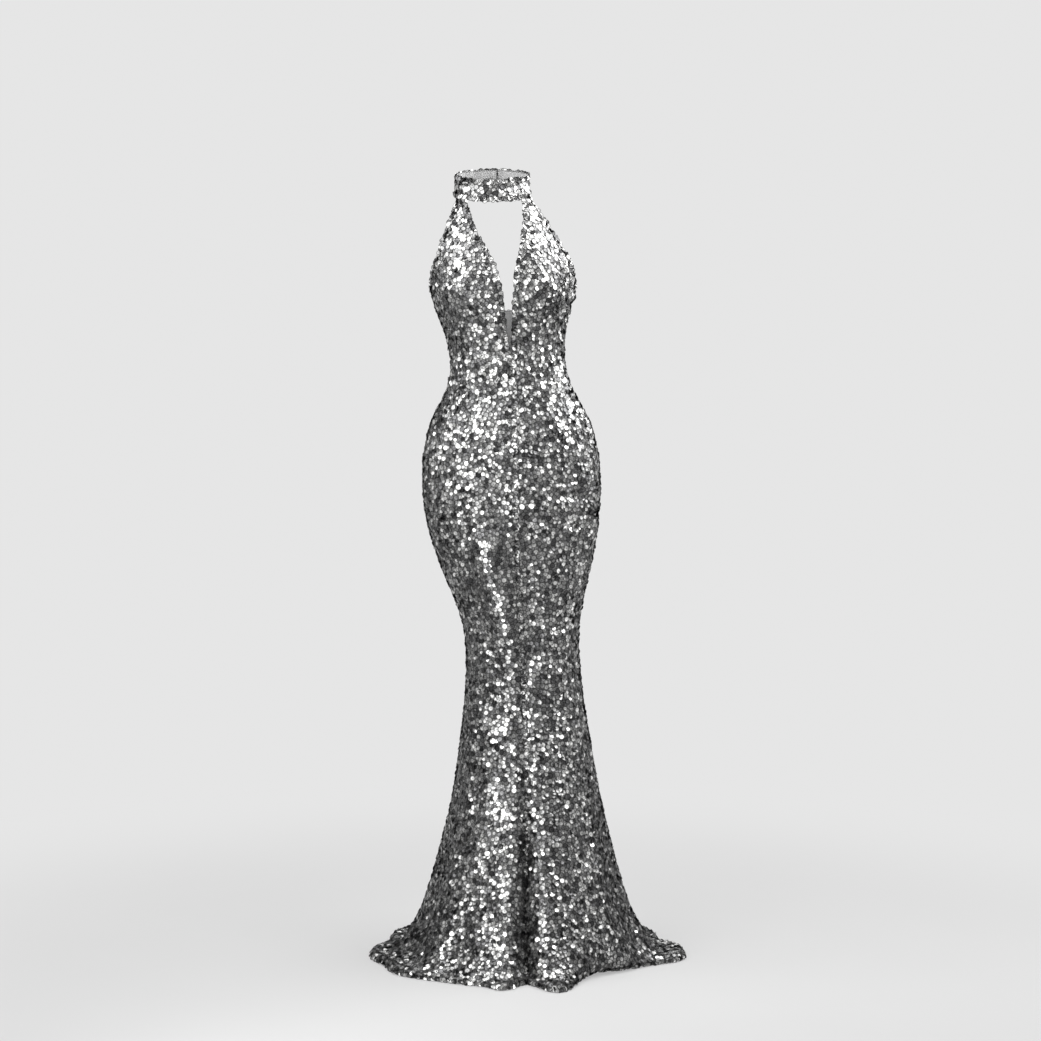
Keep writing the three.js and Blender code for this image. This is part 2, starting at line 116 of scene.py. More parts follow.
# Creases of the worn net: each runs from one angle and height to another, angles in degrees from
# centre front towards the wearer's left. height is how far it stands out, or in below zero.
Crease = namedtuple("Crease", "angle z to_angle to_z spread height")
CREASES = (
    # the forward thigh, from the hip down to the knee, and the hollow between the legs below it
    Crease(-38, -0.540, -10, -1.000, 0.0240, 0.0090),
    Crease(12, -0.700, 2, -1.040, 0.0220, -0.0050),
    Crease(0, -1.010, 0, -1.500, 0.0140, -0.0060),
    Crease(-30, -1.120, -40, -1.480, 0.0240, 0.0050),
    Crease(30, -1.120, 38, -1.480, 0.0240, 0.0050),
    # the left hip, where the net pulls across the forward leg
    Crease(34, -0.588, 92, -0.606, 0.0065, -0.0055),
    Crease(36, -0.565, 58, -0.586, 0.0055, 0.0050),
    Crease(-3, -0.623, 11, -0.648, 0.0050, 0.0048),
    Crease(4, -0.631, 24, -0.640, 0.0055, -0.0048),
    Crease(19, -0.645, 36, -0.662, 0.0050, 0.0048),
    Crease(42, -0.664, 62, -0.660, 0.0050, 0.0048),
    Crease(60, -0.628, 98, -0.634, 0.0060, -0.0036),
    # from the left of the bust down to the underarm
    Crease(44, -0.122, 76, -0.186, 0.0075, 0.0034),
    Crease(38, -0.144, 74, -0.216, 0.0075, 0.0036),
    Crease(41, -0.132, 75, -0.201, 0.0060, -0.0022),
    Crease(72, -0.216, 96, -0.214, 0.0065, 0.0046),
    Crease(70, -0.228, 98, -0.229, 0.0060, -0.0044),
    # from the right of the bust down to the underarm
    Crease(-42, -0.126, -72, -0.188, 0.0075, 0.0030),
    Crease(-36, -0.152, -70, -0.218, 0.0075, 0.0030),
    Crease(-39, -0.139, -71, -0.203, 0.0060, -0.0018),
    # under the bust and round the waist
    Crease(-88, -0.330, -46, -0.322, 0.0075, -0.0030),
    Crease(52, -0.318, 94, -0.334, 0.0075, -0.0032),
    Crease(-96, -0.372, -58, -0.380, 0.0075, 0.0028),
    # the small of the back and the seat
    Crease(108, -0.352, 160, -0.338, 0.0080, -0.0036),
    Crease(-110, -0.348, -158, -0.336, 0.0080, -0.0036),
    Crease(112, -0.396, 150, -0.388, 0.0085, 0.0032),
    Crease(-118, -0.398, -150, -0.386, 0.0085, 0.0032),
    Crease(122, -0.664, 168, -0.680, 0.0080, -0.0038),
    Crease(-120, -0.662, -166, -0.682, 0.0080, -0.0038),
    # behind and beside the knees
    Crease(96, -0.850, 150, -0.872, 0.0085, -0.0038),
    Crease(-96, -0.868, -148, -0.858, 0.0085, -0.0038),
    Crease(30, -0.838, 82, -0.866, 0.0080, -0.0032),
    Crease(-84, -0.842, -40, -0.856, 0.0080, -0.0030),
    Crease(100, -0.905, 160, -0.890, 0.0085, 0.0032),
)


def outer_skin(node):
    """The outer face of a node's wall as a mesh of quads, without the rim and the inner face."""
    form = bmesh.new()
    form.from_mesh(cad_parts[node].data)
    bmesh.ops.remove_doubles(form, verts=form.verts, dist=WELD)

    def width(face):
        return 2 * face.calc_area() / max(edge.calc_length() for edge in face.edges)

    def out_of_gown(face):
        at = face.calc_center_median()
        middle = np.interp(at.z, MIDDLE[:, 0], MIDDLE[:, 1])
        away = Vector((at.x - middle, at.y, 0)).normalized()
        return face.normal.dot(away)

    # the rim's faces are as narrow as the wall, and meet at short edges across it
    narrow = {face for face in form.faces if width(face) < RIM}
    short = [edge for edge in form.edges if edge.calc_length() < RIM]
    rim = {face for edge in short if narrow.issuperset(edge.link_faces) for face in edge.link_faces}
    tall = sorted(set(form.faces) - rim, key=lambda face: face.calc_center_median().z)
    near_half = tall[len(tall) * 2 // 5 : len(tall) * 3 // 5]
    first = max(near_half, key=out_of_gown)
    kept, waiting = {first}, [first]
    while waiting:
        for edge in waiting.pop().edges:
            for face in edge.link_faces:
                if face not in kept and face not in rim:
                    kept.add(face)
                    waiting.append(face)
    rest = [face for face in form.faces if face not in kept]
    bmesh.ops.delete(form, geom=rest, context="FACES")
    bmesh.ops.join_triangles(
        form,
        faces=form.faces,
        angle_face_threshold=math.radians(60),
        angle_shape_threshold=math.radians(100),
    )
    skin = bpy.data.meshes.new(node + "_skin")
    form.to_mesh(skin)
    form.free()
    return skin


def as_mesh(maker, name):
    """The object's mesh with its modifiers applied, and the object gone."""
    depsgraph = bpy.context.evaluated_depsgraph_get()
    made = bpy.data.meshes.new_from_object(maker.evaluated_get(depsgraph))
    made.name = name
    bpy.data.objects.remove(maker)
    return made


def placed(name, mesh):
    piece = bpy.data.objects.new(name, mesh)
    bpy.context.collection.objects.link(piece)
    return piece


def smoothed(skin, levels):
    maker = placed("maker", skin)
    rounding = maker.modifiers.new("rounding", "SUBSURF")
    rounding.levels = levels
    rounding.render_levels = levels
    rounding.boundary_smooth = "PRESERVE_CORNERS"
    return as_mesh(maker, skin.name)


def corners_of(mesh):
    points = np.empty(len(mesh.vertices) * 3)
    mesh.vertices.foreach_get("co", points)
    return points.reshape(-1, 3)


def normals_of(mesh):
    normals = np.empty(len(mesh.vertices) * 3)
    mesh.vertex_normals.foreach_get("vector", normals)
    return normals.reshape(-1, 3)


def moved(mesh, shifts):
    mesh.vertices.foreach_set("co", (corners_of(mesh) + shifts).ravel())
    mesh.update()


def round_middle(points):
    """Each point's place aside from the gown's middle, in front or behind, and its reach."""
    x, y, z = points.T
    aside = x - np.interp(z, MIDDLE[:, 0], MIDDLE[:, 1])
    return aside, y, np.hypot(aside, y)


def crease_heights(points, creases):
    """The height that the creases have together at each point."""
    aside, y, reach = round_middle(points)
    angle = np.arctan2(aside, -y)
    z = points[:, 2]
    total = np.zeros(len(points))
    for crease in creases:
        turn = math.radians(crease.to_angle - crease.angle)
        fall = crease.to_z - crease.z
        along_arc, along_z = turn * reach, np.full(len(points), fall)
        off = np.remainder(angle - math.radians(crease.angle) + math.pi, 2 * math.pi) - math.pi
        arc, down = off * reach, z - crease.z
        length = along_arc**2 + along_z**2
        part = np.clip((arc * along_arc + down * along_z) / length, 0, 1)
        miss = np.hypot(arc - part * along_arc, down - part * along_z)
        fade = np.sin(np.pi * np.clip(part, CUT_SHORT, 1 - CUT_SHORT)) ** WIDENING
        spread = crease.spread * (END_WIDTH + (1 - END_WIDTH) * fade)
        total += crease.height * fade * np.exp(-((miss / spread) ** 2))
    return total


def crease_shifts(points):
    """How the creases move each point, straight out from the gown's middle or in towards it."""
    aside, y, reach = round_middle(points)
    away = np.stack([aside, y, np.zeros(len(points))], axis=1) / reach[:, None]
    return away * crease_heights(points, CREASES)[:, None]


def edge_shared(skins):
    """Each skin's normals, with one in common wherever the edges of two skins meet."""
    normals = {node: normals_of(skin) for node, skin in skins.items()}
    edge = []
    for node, skin in skins.items():
        form = bmesh.new()
        form.from_mesh(skin)
        edge += [(corner.co.copy(), node, corner.index) for corner in form.verts if corner.is_boundary]
        form.free()
    tree = KDTree(len(edge))
    for number, (place, _, _) in enumerate(edge):
        tree.insert(place, number)
    tree.balance()
    in_common = {}
    for place, node, corner in edge:
        meeting = [edge[number] for _, number, _ in tree.find_range(place, MET)]
        total = sum(normals[other][there] for _, other, there in meeting)
        in_common[node, corner] = total / np.linalg.norm(total)
    for (node, corner), normal in in_common.items():
        normals[node][corner] = normal
    return normals


PANELS = ("right_front", "left_front", "right_back", "left_back")
skins = {}
for node in PANELS:
    skins[node] = smoothed(outer_skin(node), SMOOTHING)
    moved(skins[node], crease_shifts(corners_of(skins[node])))
for node, normals in edge_shared(skins).items():
    moved(skins[node], -SET_IN * normals)


def add(tree, kind, feeds=None, **settings):
    """A node of that kind, with its settings and what feeds its sockets."""
    node = tree.nodes.new(kind)
    for name, value in settings.items():
        setattr(node, name, value)
    for socket, value in (feeds or {}).items():
        if isinstance(value, bpy.types.NodeSocket):
            tree.links.new(value, node.inputs[socket])
        else:
            node.inputs[socket].default_value = value
    return node


def new_material(name):
    """An empty material with its shader, and the tree that both are in."""
    material = bpy.data.materials.new(name)
    material.use_nodes = True
    tree = material.node_tree
    tree.nodes.clear()
    shader = add(tree, "ShaderNodeBsdfPrincipled")
    add(tree, "ShaderNodeOutputMaterial", {"Surface": shader.outputs["BSDF"]})
    return material, tree, shader


def ramp(tree, factor, stops):
    """A colour ramp through (place, grey or colour) stops."""
    node = add(tree, "ShaderNodeValToRGB", {"Fac": factor})
    elements = node.color_ramp.elements
    while len(elements) < len(stops):
        elements.new(0.5)
    for element, (place, colour) in zip(elements, stops):
        element.position = place
        rgb = colour if isinstance(colour, tuple) else (colour,) * 3
        element.color = (*rgb, 1)
    return node.outputs["Color"]


def object_place(tree):
    return add(tree, "ShaderNodeTexCoord").outputs["Object"]


def noise(tree, at, scale, detail):
    feeds = {"Vector": at, "Scale": scale, "Detail": detail}
    return add(tree, "ShaderNodeTexNoise", feeds).outputs["Fac"]


def calculated(tree, operation, *values):
    return add(tree, "ShaderNodeMath", dict(enumerate(values)), operation=operation).outputs[0]


def length_of(tree, vector):
    return add(tree, "ShaderNodeVectorMath", {0: vector}, operation="LENGTH").outputs["Value"]


def mapped(tree, value, start, end, to_start, to_end):
    """A value's range from start to end made another range."""
    feeds = {"Value": value, "From Min": start, "From Max": end, "To Min": to_start, "To Max": to_end}
    return add(tree, "ShaderNodeMapRange", feeds).outputs["Result"]


def given_relief(tree, shader, height, strength, distance):
    """Fine relief for a shader, in metres at its deepest."""
    feeds = {"Height": height, "Strength": strength, "Distance": distance}
    bump = add(tree, "ShaderNodeBump", feeds)
    tree.links.new(bump.outputs["Normal"], shader.inputs["Normal"])


def net_material():
    """A dark knitted net: fine threads both ways with small holes between."""
    material, tree, shader = new_material("dark stretch net")
    at = object_place(tree)
    holes = add(tree, "ShaderNodeTexVoronoi", {"Vector": at, "Scale": 900}, feature="DISTANCE_TO_EDGE")
    threads = mapped(tree, holes.outputs["Distance"], 0.02, 0.2, 1, 0)
    lit = calculated(tree, "MULTIPLY", threads, noise(tree, at, 60, 4))
    colour = ramp(tree, lit, ((0.0, 0.02), (0.35, 0.07), (0.7, 0.16)))
    tree.links.new(colour, shader.inputs["Base Color"])
    given_relief(tree, shader, threads, 0.6, 0.0002)
    shader.inputs["Roughness"].default_value = 0.75
    shader.inputs["Sheen Weight"].default_value = 0.25
    shader.inputs["Sheen Roughness"].default_value = 0.5
    return material


def jersey_material():
    """The plain silver grey jersey on the reverse: ribs of fine knitting, a little worn."""
    material, tree, shader = new_material("grey jersey reverse")
    at = object_place(tree)
    ribs = add(
        tree,
        "ShaderNodeTexWave",
        {"Vector": at, "Scale": 260, "Distortion": 1.2, "Detail": 2, "Detail Scale": 3},
        wave_type="BANDS",
        bands_direction="DIAGONAL",
    )
    mixed = calculated(tree, "MULTIPLY_ADD", noise(tree, at, 25, 6), 0.5, noise(tree, at, 900, 2))
    colour = ramp(tree, mixed, ((0.4, 0.09), (0.75, 0.16), (1.0, 0.22)))
    tree.links.new(colour, shader.inputs["Base Color"])
    given_relief(tree, shader, ribs.outputs["Fac"], 0.5, 0.0002)
    shader.inputs["Roughness"].default_value = 0.8
    shader.inputs["Sheen Weight"].default_value = 0.3
    return material


NET = net_material()
JERSEY = jersey_material()


def net_shell(name, skin):
    """The net as a thin closed shell: net outside and on the edge, jersey inside."""
    maker = placed("maker", skin.copy())
    maker.data.materials.append(NET)
    maker.data.materials.append(JERSEY)
    wall = maker.modifiers.new("wall", "SOLIDIFY")
    wall.thickness = NET_WALL
    wall.offset = -1
    wall.material_offset = 1
    shell = placed(name, as_mesh(maker, name))
    shell.data.polygons.foreach_set("use_smooth", [True] * len(shell.data.polygons))
    return shell


# Sequins of the panels
# Round cupped sequins of silvered film, each held by a thread through the hole in its middle.
# They lie close and overlap at every slant, so that some flash and others are dark.

SPACING = 0.0061
SEQUIN_RADIUS = 0.0052
CUP = 0.0006
SLANT = math.radians(19)
NAP = math.radians(18)
NAP_SCALE = 30
LIFT = 0.0008
RESTING = 0.6
SIDES = 10
SIZES = (0.72, 1.18)
LIFTS = (0.5, 1.5)
CLEAR = 0.0032
# Points a square metre that are thrown before the spacing thins them
THROWN = 160000.0

# Seeds of the random draws
LIFT_SEED = 3
TONE_SEED = 5
SPIN_SEED = 7
SLANT_SEED = 9
SIZE_SEED = 11
ROW_SEED = 13
BAND_SEED = 21

# Where the net is stretched most, so that its sequins lie flatter: height is the share of their
# slant that they lose there
STRETCHED = (
    Crease(-30, -0.560, -8, -0.980, 0.0450, 0.62),
    Crease(-62, -0.080, -44, -0.230, 0.0500, 0.40),
    Crease(62, -0.080, 44, -0.230, 0.0500, 0.40),
)


def sequin_material():
    """Silvered film: dark and light sequins, a painted shade that darkens each towards its rim, and a hole
    with its thread.
    """
    material, tree, shader = new_material("silver sequins")
    tone = add(tree, "ShaderNodeAttribute", attribute_name="tone").outputs["Fac"]
    place = add(tree, "ShaderNodeAttribute", attribute_name="place").outputs["Vector"]
    out = length_of(tree, place)
    film = ramp(
        tree,
        tone,
        (
            (0.0, (0.04, 0.04, 0.041)),
            (0.2, (0.085, 0.085, 0.086)),
            (0.45, (0.15, 0.15, 0.149)),
            (0.75, (0.28, 0.28, 0.276)),
            (1.0, (0.6, 0.6, 0.59)),
        ),
    )
    # ring: dark hole and thread in the middle, then painted shade darkening each sequin out to its rim,
    # where its neighbours would shadow it
    ring = ramp(tree, out, ((0.0, 0.08), (0.1, 0.12), (0.16, 1.0), (0.62, 1.0), (0.8, 0.4), (1.0, 0.12)))
    colour = add(
        tree,
        "ShaderNodeMix",
        {"Factor": 1.0, "A": film, "B": ring},
        data_type="RGBA",
        blend_type="MULTIPLY",
    )
    tree.links.new(colour.outputs["Result"], shader.inputs["Base Color"])
    scuffs = noise(tree, object_place(tree), 1400, 3)
    tree.links.new(mapped(tree, scuffs, 0.3, 0.7, 0.28, 0.42), shader.inputs["Roughness"])
    dent = ramp(tree, out, ((0.0, 0.0), (0.15, 0.2), (0.3, 0.8), (0.7, 1.0), (1.0, 0.4)))
    given_relief(tree, shader, dent, 0.5, 0.0002)
    shader.inputs["Metallic"].default_value = 1.0
    return material


SEQUINS = sequin_material()


def new_tree(name, inputs):
    """A node tree that takes and gives geometry, with named inputs of the given kinds."""
    tree = bpy.data.node_groups.new(name, "GeometryNodeTree")
    tree.interface.new_socket("Geometry", in_out="INPUT", socket_type="NodeSocketGeometry")
    tree.interface.new_socket("Geometry", in_out="OUTPUT", socket_type="NodeSocketGeometry")
    for label, kind in inputs:
        tree.interface.new_socket(label, in_out="INPUT", socket_type="NodeSocket" + kind)
    given = add(tree, "NodeGroupInput").outputs
    return tree, given


def read(tree, name, kind="FLOAT"):
    """What the geometry's attribute of that name holds."""
    return add(tree, "GeometryNodeInputNamedAttribute", {"Name": name}, data_type=kind).outputs[0]


def stored(tree, geometry, name, value, kind):
    feeds = {"Geometry": geometry, "Name": name, "Value": value}
    node = add(tree, "GeometryNodeStoreNamedAttribute", feeds, data_type=kind, domain="POINT")
    return node.outputs["Geometry"]


def shifted(tree, geometry, offset):
    feeds = {"Geometry": geometry, "Offset": offset}
    return add(tree, "GeometryNodeSetPosition", feeds).outputs["Geometry"]


def combined(tree, operation, first, second):
    return add(tree, "ShaderNodeVectorMath", {0: first, 1: second}, operation=operation).outputs[0]


def scaled(tree, vector, size):
    feeds = {0: vector, "Scale": size}
    return add(tree, "ShaderNodeVectorMath", feeds, operation="SCALE").outputs[0]


def random_number(tree, low, high, seed):
    feeds = {2: low, 3: high, "Seed": seed}
    return add(tree, "FunctionNodeRandomValue", feeds, data_type="FLOAT").outputs[1]


def random_vector(tree, low, high, seed):
    feeds = {0: low, 1: high, "Seed": seed}
    return add(tree, "FunctionNodeRandomValue", feeds, data_type="FLOAT_VECTOR").outputs[0]


def turned(tree, rotation, angles):
    """A rotation turned by angles about its own axes."""
    by = add(tree, "FunctionNodeEulerToRotation", {0: angles}).outputs[0]
    feeds = {"Rotation": rotation, "Rotate By": by}
    return add(tree, "FunctionNodeRotateRotation", feeds, rotation_space="LOCAL").outputs[0]


def points_along(tree, lines, spacing):
    """Evenly spaced points along lines."""
    curve = add(tree, "GeometryNodeMeshToCurve", {"Mesh": lines}).outputs["Curve"]
    feeds = {"Curve": curve, "Length": spacing}
    evenly = add(tree, "GeometryNodeResampleCurve", feeds, mode="LENGTH").outputs["Curve"]
    return add(tree, "GeometryNodeCurveToPoints", {"Curve": evenly}, mode="EVALUATED").outputs["Points"]


def lying(tree, out, lay):
    """The rotation that stands a shape's top outwards and lays its length along lay."""
    feeds = {"Primary Axis": out, "Secondary Axis": lay}
    axes = {"primary_axis": "Z", "secondary_axis": "X"}
    return add(tree, "FunctionNodeAxesToRotation", feeds, **axes).outputs[0]


def finished_tree(tree, geometry, floor, material):
    """Ends a tree: instances made real, nothing under the floor, smooth, in their material."""
    real = add(tree, "GeometryNodeRealizeInstances", {"Geometry": geometry})
    position = add(tree, "GeometryNodeInputPosition").outputs["Position"]
    parts = add(tree, "ShaderNodeSeparateXYZ", {0: position}).outputs
    above = calculated(tree, "MAXIMUM", parts["Z"], floor)
    stood = add(tree, "ShaderNodeCombineXYZ", {"X": parts["X"], "Y": parts["Y"], "Z": above})
    kept = add(
        tree,
        "GeometryNodeSetPosition",
        {"Geometry": real.outputs["Geometry"], "Position": stood.outputs[0]},
    )
    smooth = add(tree, "GeometryNodeSetShadeSmooth", {"Geometry": kept.outputs["Geometry"]})
    finish = add(
        tree, "GeometryNodeSetMaterial", {"Geometry": smooth.outputs["Geometry"], "Material": material}
    )
    add(tree, "NodeGroupOutput", {"Geometry": finish.outputs["Geometry"]})


def sewn_sequins(tree, given, points, rotation):
    """A cupped sequin on each point, with its own slant, size and tone, and the nap's slant."""
    disc_feeds = {"Vertices": SIDES, "Radius": 1.0}
    disc = add(tree, "GeometryNodeMeshCircle", disc_feeds, fill_type="TRIANGLE_FAN").outputs["Mesh"]
    position = add(tree, "GeometryNodeInputPosition").outputs["Position"]
    marked = stored(tree, disc, "place", position, "FLOAT_VECTOR")
    below_rim = calculated(tree, "SUBTRACT", length_of(tree, position), 1.0)
    depth = calculated(tree, "MULTIPLY", below_rim, given["Cup"])
    low = add(tree, "ShaderNodeCombineXYZ", {"Z": depth}).outputs[0]
    shaped = combined(tree, "ADD", scaled(tree, position, given["Radius"]), low)
    cup = add(tree, "GeometryNodeSetPosition", {"Geometry": marked, "Position": shaped})
    toned = stored(tree, points, "tone", random_number(tree, 0, 1, TONE_SEED), "FLOAT")
    cloud_feeds = {"Vector": position, "Scale": given["Nap Scale"], "Detail": 2}
    cloud = add(tree, "ShaderNodeTexNoise", cloud_feeds).outputs["Color"]
    nap = scaled(tree, combined(tree, "SUBTRACT", cloud, (0.5, 0.5, 0.5)), given["Nap"])
    own = scaled(tree, random_vector(tree, (-1, -1, 0), (1, 1, 0), SLANT_SEED), given["Slant"])
    kept = calculated(tree, "SUBTRACT", 1.0, read(tree, "stretched"))
    slant = scaled(tree, combined(tree, "ADD", nap, own), kept)
    spin = random_vector(tree, (0, 0, 0), (0, 0, 2 * math.pi), SPIN_SEED)
    # a slanted sequin rests on its lower side, so that it stays clear of the net
    drop = calculated(tree, "MULTIPLY", length_of(tree, slant), given["Radius"])
    rise = calculated(tree, "MULTIPLY", drop, RESTING)
    upwards = add(tree, "FunctionNodeRotateVector", {"Vector": (0, 0, 1), "Rotation": rotation})
    rested = shifted(tree, toned, scaled(tree, upwards.outputs[0], rise))
    sewn = add(
        tree,
        "GeometryNodeInstanceOnPoints",
        {
            "Points": rested,
            "Instance": cup.outputs["Geometry"],
            "Rotation": turned(tree, turned(tree, rotation, slant), spin),
            "Scale": random_number(tree, *SIZES, SIZE_SEED),
        },
    )
    finished_tree(tree, sewn.outputs["Instances"], given["Floor"], SEQUINS)


SEQUIN_INPUTS = (
    ("Spacing", "Float"),
    ("Radius", "Float"),
    ("Cup", "Float"),
    ("Slant", "Float"),
    ("Nap", "Float"),
    ("Nap Scale", "Float"),
    ("Lift", "Float"),
    ("Floor", "Float"),
    ("Clear", "Float"),
    ("Nearest", "Float"),
    ("Farthest", "Float"),
    ("Seed", "Int"),
)


def all_over_tree():
    """Sequins scattered all over a skin, clear of its free edges."""
    tree, given = new_tree("sequins all over", SEQUIN_INPUTS)
    inside = calculated(tree, "GREATER_THAN", read(tree, "from_edge"), given["Clear"])
    spread = add(
        tree,
        "GeometryNodeDistributePointsOnFaces",
        {
            "Mesh": given["Geometry"],
            "Distance Min": given["Spacing"],
            "Density Max": THROWN,
            "Density Factor": inside,
            "Seed": given["Seed"],
        },
        distribute_method="POISSON",
    )
    height = calculated(tree, "MULTIPLY", random_number(tree, *LIFTS, LIFT_SEED), given["Lift"])
    points = shifted(tree, spread.outputs["Points"], scaled(tree, spread.outputs["Normal"], height))
    sewn_sequins(tree, given, points, spread.outputs["Rotation"])
    return tree


def along_edge_tree():
    """Sequins in a row along an edge, each a little nearer or farther in from it."""
    tree, given = new_tree("sequins along an edge", SEQUIN_INPUTS)
    points = points_along(tree, given["Geometry"], given["Spacing"])
    out = read(tree, "out", "FLOAT_VECTOR")
    lay = read(tree, "lay", "FLOAT_VECTOR")
    reach = random_number(tree, given["Nearest"], given["Farthest"], ROW_SEED)
    offset = combined(tree, "ADD", scaled(tree, lay, reach), scaled(tree, out, given["Lift"]))
    sewn_sequins(tree, given, shifted(tree, points, offset), lying(tree, out, lay))
    return tree


def made_by(tree, mesh, name, settings):
    """A plain mesh made by a tree on a mesh, with the tree's inputs set by name."""
    maker = placed("maker", mesh)
    work = maker.modifiers.new("work", "NODES")
    work.node_group = tree
    for item in tree.interface.items_tree:
        if item.in_out == "INPUT" and item.name in settings:
            work[item.identifier] = settings[item.name]
    maker.update_tag()
    bpy.context.view_layer.update()
    return as_mesh(maker, name)


ALL_OVER = all_over_tree()
ALONG_EDGE = along_edge_tree()
SEQUIN_SIZES = {
    "Spacing": SPACING,
    "Radius": SEQUIN_RADIUS,
    "Cup": CUP,
    "Slant": SLANT,
    "Nap": NAP,
    "Nap Scale": NAP_SCALE,
    "Lift": LIFT,
    "Floor": cad_box[0].z,
    "Clear": CLEAR,
}
# How far in from an edge a row's sequins sit, along a free edge and over a seam
EDGE_ROW = {"Nearest": 0.0010, "Farthest": 0.0044, "Spacing": 0.0040, "Slant": math.radians(28)}
SEAM_ROW = {"Nearest": -0.0018, "Farthest": 0.0030, "Spacing": 0.0056}

# Edges and seams of the panels: a point of a skin's edge, the way out of the gown there and the
# way in from the edge over the panel
EdgePoint = namedtuple("EdgePoint", "at out inward")
MEETING = 0.0024
MEETING_BAND = 0.0048
BESIDE_MIDDLE = 0.02
SHORTEST_RUN = 4
ZIP_TOP = -0.244
ZIP_FOOT = -0.613


def edge_of(skin):
    """The points round a skin's edge in order, with the panel on the left."""
    form = bmesh.new()
    form.from_mesh(skin)
    after = {}
    for edge in form.edges:
        if len(edge.link_loops) == 1:
            loop = edge.link_loops[0]
            after[loop.vert] = loop.link_loop_next.vert
    first = max(after, key=lambda corner: corner.co.z)
    ring = [first]
    while after[ring[-1]] is not first:
        ring.append(after[ring[-1]])
    points = []
    for before, corner, behind in zip(ring[-1:] + ring, ring, ring[1:] + ring[:1]):
        along = (behind.co - before.co).normalized()
        out = corner.normal.copy()
        points.append(EdgePoint(corner.co.copy(), out, out.cross(along).normalized()))
    form.free()
    return points


def tree_of(points):
    tree = KDTree(len(points))
    for number, point in enumerate(points):
        tree.insert(point.at, number)
    tree.balance()
    return tree


def away_from(place, points, tree):
    """How far a place is from the line through an edge's points."""
    near = tree.find(place)[1]
    gaps = []
    for start, end in ((near - 1, near), (near, (near + 1) % len(points))):
        foot, part = intersect_point_line(place, points[start].at, points[end].at)
        if part < 0 or part > 1:
            foot = points[near].at
        gaps.append((foot - place).length)
    return min(gaps)


def runs(points, kinds):
    """The stretches of an edge that have one kind, as (kind, points); the edge is a ring."""
    breaks = [n for n in range(len(kinds)) if kinds[n] != kinds[n - 1]]
    if not breaks:
        return [(kinds[0], points + points[:1])]
    found = []
    for start, end in zip(breaks, breaks[1:] + [breaks[0] + len(kinds)]):
        # one more point at each end, so that neighbouring runs meet
        stretch = [points[n % len(points)] for n in range(start - 1, end + 1)]
        if end - start >= SHORTEST_RUN:
            found.append((kinds[start], stretch))
    return found


def line_mesh(name, lines, inward, out, lay, size):
    """Lines beside an edge as a mesh of edges, with the attributes that the trees read."""
    points, edges = [], []
    outs, lays = [], []
    for line in lines:
        for number, point in enumerate(line):
            if number:
                edges.append((len(points) - 1, len(points)))
            points.append(point.at + point.inward * inward + point.out * out)
            outs.append(point.out)
            lays.append(point.inward if lay == "across" else point.out.cross(point.inward))
    mesh = bpy.data.meshes.new(name)
    mesh.from_pydata(points, edges, [])
    for label, values in (("out", outs), ("lay", lays), ("size", [size] * len(points))):
        layer = mesh.attributes.new(label, "FLOAT_VECTOR", "POINT")
        layer.data.foreach_set("vector", np.array(values, dtype=float).ravel())
    return mesh


panel_edges = {node: edge_of(skins[node]) for node in PANELS}
band_skin = smoothed(outer_skin("neck_band"), SMOOTHING)
moved(band_skin, -SET_IN * normals_of(band_skin))
band_edge = edge_of(band_skin)
free_edges, seams, zipped_edges, band_joins = {}, {}, {}, {}
edge_trees = {node: tree_of(panel_edges[node]) for node in PANELS}
band_tree = tree_of(band_edge)
for node in PANELS:
    kinds = []
    for point in panel_edges[node]:
        gap = min(
            away_from(point.at, panel_edges[other], edge_trees[other]) for other in PANELS if other != node
        )
        if gap < MEETING:
            middle = np.interp(point.at.z, MIDDLE[:, 0], MIDDLE[:, 1])
            behind = point.at.y > 0 and abs(point.at.x - middle) < BESIDE_MIDDLE
            zipped = behind and ZIP_FOOT < point.at.z < ZIP_TOP
            kinds.append("zip" if zipped else "seam")
        elif away_from(point.at, band_edge, band_tree) < MEETING_BAND:
            kinds.append("band")
        else:
            kinds.append("free")
    stretches = runs(panel_edges[node], kinds)
    free_edges[node] = [line for kind, line in stretches if kind == "free"]
    seams[node] = [line for kind, line in stretches if kind == "seam"]
    zipped_edges[node] = [line for kind, line in stretches if kind == "zip"]
    band_joins[node] = [line for kind, line in stretches if kind == "band"]

# Cut sizes of the panels: width across the hem, length and flat area
Cut = namedtuple("Cut", "width length area")


def joined(name, meshes):
    """One mesh from several of one material each."""
    form = bmesh.new()
    materials = []
    for mesh in meshes:
        # a tree leaves an empty slot before its own material
        material = next(material for material in mesh.materials if material)
        if material not in materials:
            materials.append(material)
        already = len(form.faces)
        form.from_mesh(mesh)
        form.faces.ensure_lookup_table()
        for face in form.faces[already:]:
            face.material_index = materials.index(material)
    whole = bpy.data.meshes.new(name)
    form.to_mesh(whole)
    form.free()
    for material in materials:
        whole.materials.append(material)
    return whole


